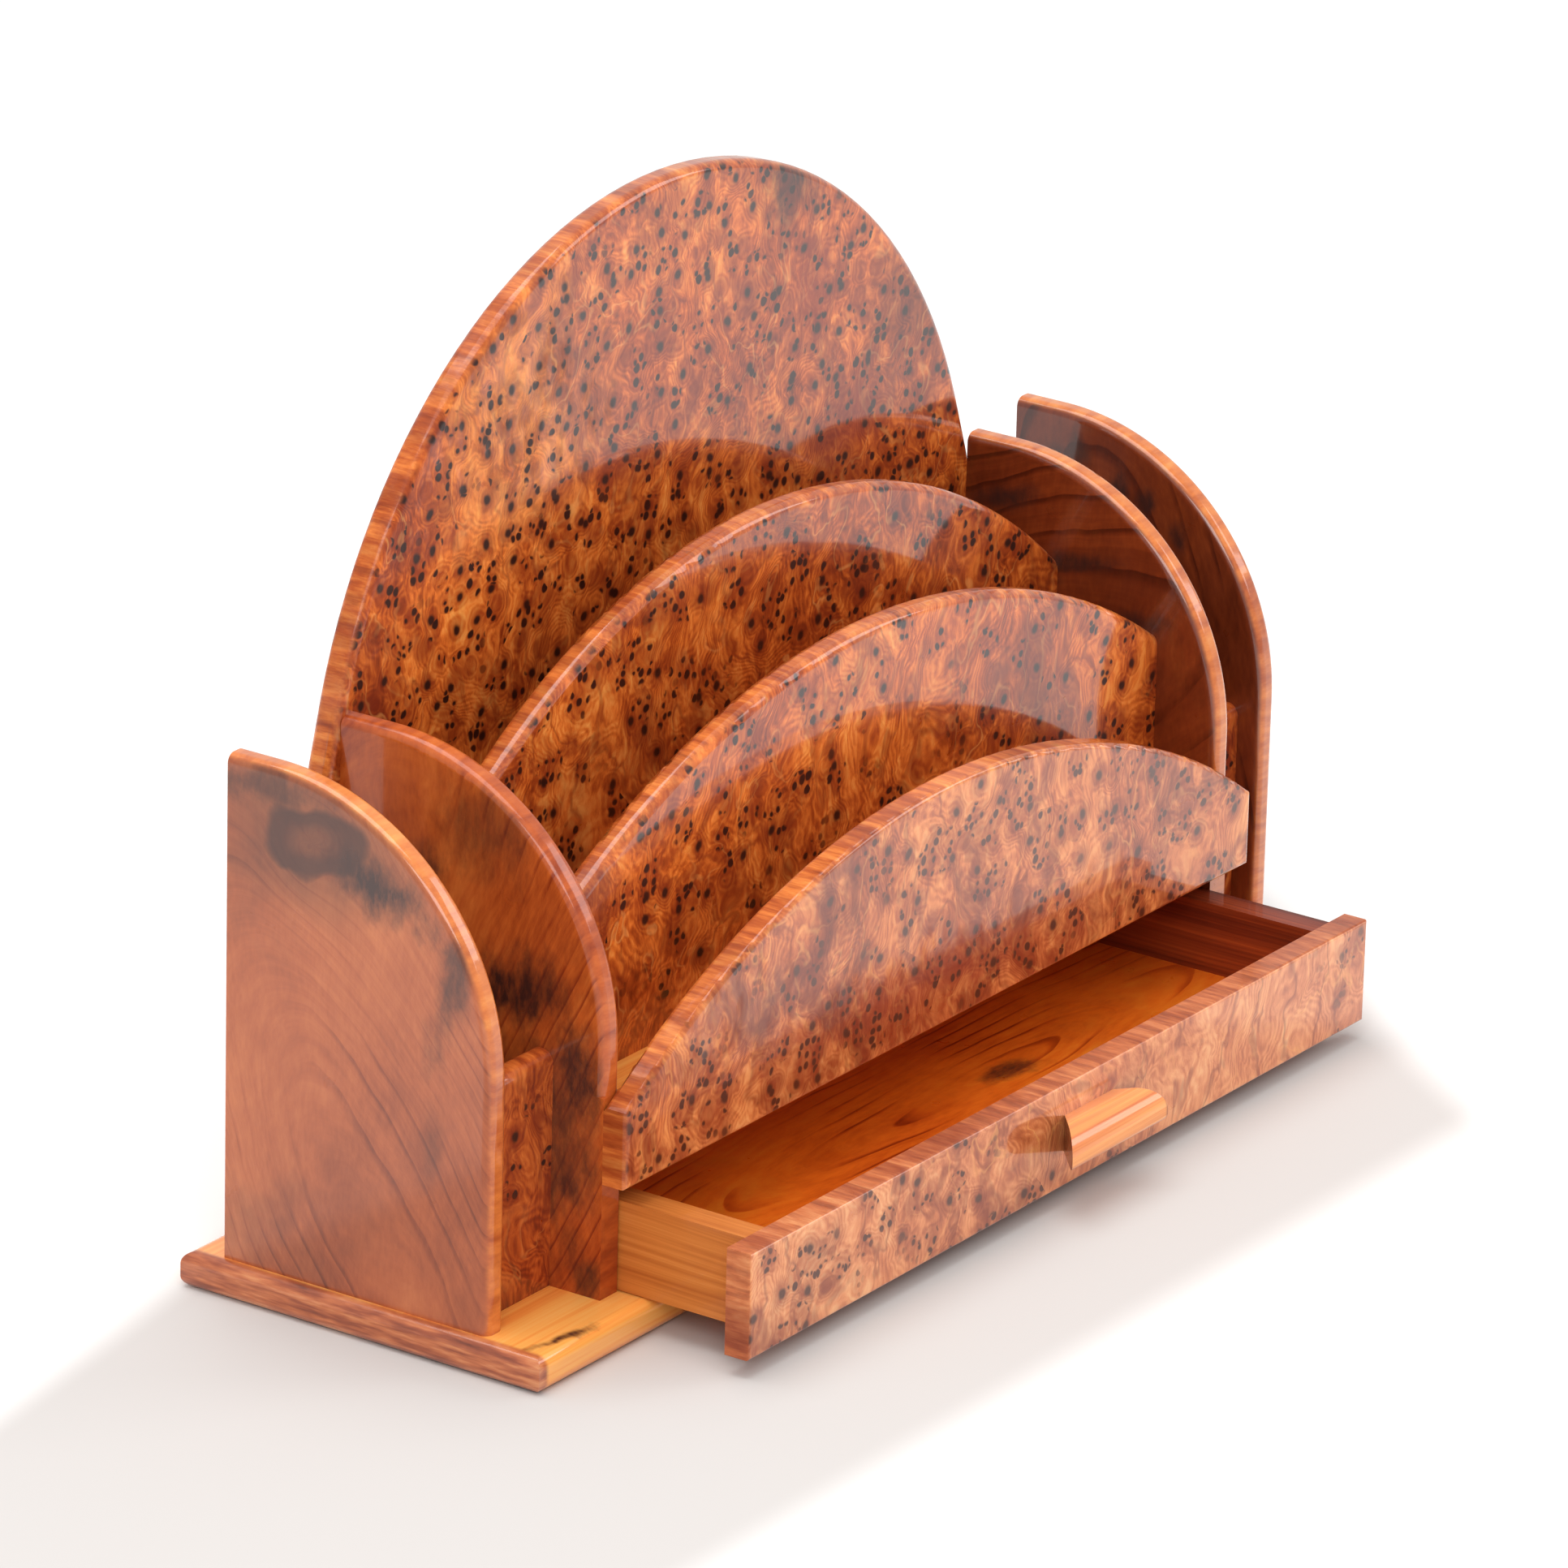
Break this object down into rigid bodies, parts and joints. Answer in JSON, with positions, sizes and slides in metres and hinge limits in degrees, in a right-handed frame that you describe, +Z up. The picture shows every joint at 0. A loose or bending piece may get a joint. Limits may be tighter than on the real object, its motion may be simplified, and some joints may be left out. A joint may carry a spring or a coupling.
{
  "type": "desk letter rack",
  "caption": "Wooden desk organizer: upright letter slots between arched boards, a pen well at each side and a shallow drawer below.",
  "frame": {"origin": "centre of the base board's underside, on the desk", "axes": "+X to the right seen from the front, along the letter slots; +Y towards the tall back panel; +Z up. The drawer opens towards -Y."},
  "size_m": [0.327, 0.1398, 0.2255],
  "materials": {
    "base_wood": "gloss lacquered straight grain",
    "burl_back": "gloss lacquered burl with dark eyes",
    "burl_front": "gloss lacquered burl with flame figure",
    "burl_divider": "gloss lacquered burl",
    "outer_side_wood": "gloss lacquered brown heartwood with cathedral figure",
    "inner_side_wood": "gloss lacquered red-brown heartwood",
    "pen_wall_wood": "satin red-brown heartwood",
    "shelf_wood": "satin light sapwood",
    "drawer_front_wood": "gloss lacquered burl",
    "drawer_side_wood": "satin light straight grain",
    "drawer_bottom_wood": "gloss lacquered orange cathedral grain",
    "pull_wood": "gloss lacquered orange straight grain",
    "dowel_wood": "plain dry beech"
  },
  "bodies": {
    "rack": {"base_board": "base_wood", "back_panel": "burl_back", "letter_front": "burl_front", "middle_divider": "burl_divider", "rear_divider": "burl_divider", "shelf_board": "shelf_wood", "base_dowels": "dowel_wood", "left_outer_side": "outer_side_wood", "right_outer_side": "outer_side_wood", "left_inner_side": "inner_side_wood", "right_inner_side": "inner_side_wood", "left_pen_front": "pen_wall_wood", "right_pen_front": "pen_wall_wood"},
    "drawer": {"drawer_front": "drawer_front_wood", "drawer_left_side": "drawer_side_wood", "drawer_right_side": "drawer_side_wood", "drawer_back": "drawer_side_wood", "drawer_bottom": "drawer_bottom_wood", "drawer_pull": "pull_wood", "drawer_dowels": "dowel_wood", "pull_dowels": "dowel_wood"}
  },
  "joints": [
    {"name": "drawer_slide", "type": "slide", "parent": "rack", "child": "drawer", "axis": [0, -1, 0], "range_m": [-0.02445, 0.034]}
  ]
}
